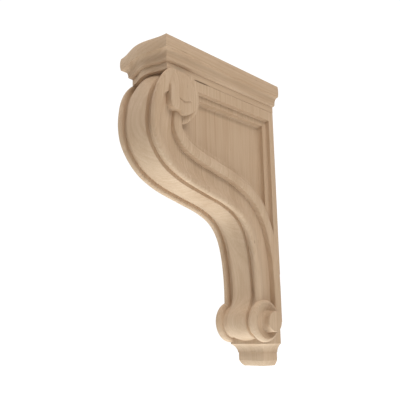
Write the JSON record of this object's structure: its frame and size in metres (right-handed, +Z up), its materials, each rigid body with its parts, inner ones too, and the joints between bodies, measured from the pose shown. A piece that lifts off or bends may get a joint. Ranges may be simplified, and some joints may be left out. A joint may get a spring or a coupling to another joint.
{
  "type": "carved wooden corbel bracket",
  "caption": "Unfinished carved wooden corbel: an S-scroll front with beads, an upper and a lower volute, panelled sides, a moulded base and a bowed cap board, made to be fixed to a wall.",
  "frame": {"origin": "centre of the back face that lies on the wall, half way up the bracket's height", "axes": "+Y into the wall, square to the back face; +Z up along the bracket's height; +X across its width, to the right of someone who faces the wall"},
  "size_m": [0.1044, 0.2672, 0.4572],
  "materials": {
    "body_wood": "raw sanded maple, unsealed, grain running up the bracket",
    "cap_wood": "raw sanded maple, unsealed, grain running level from the wall to the front"
  },
  "bodies": {
    "root": {"carved_body": "body_wood", "cap_board": "cap_wood"}
  },
  "joints": []
}
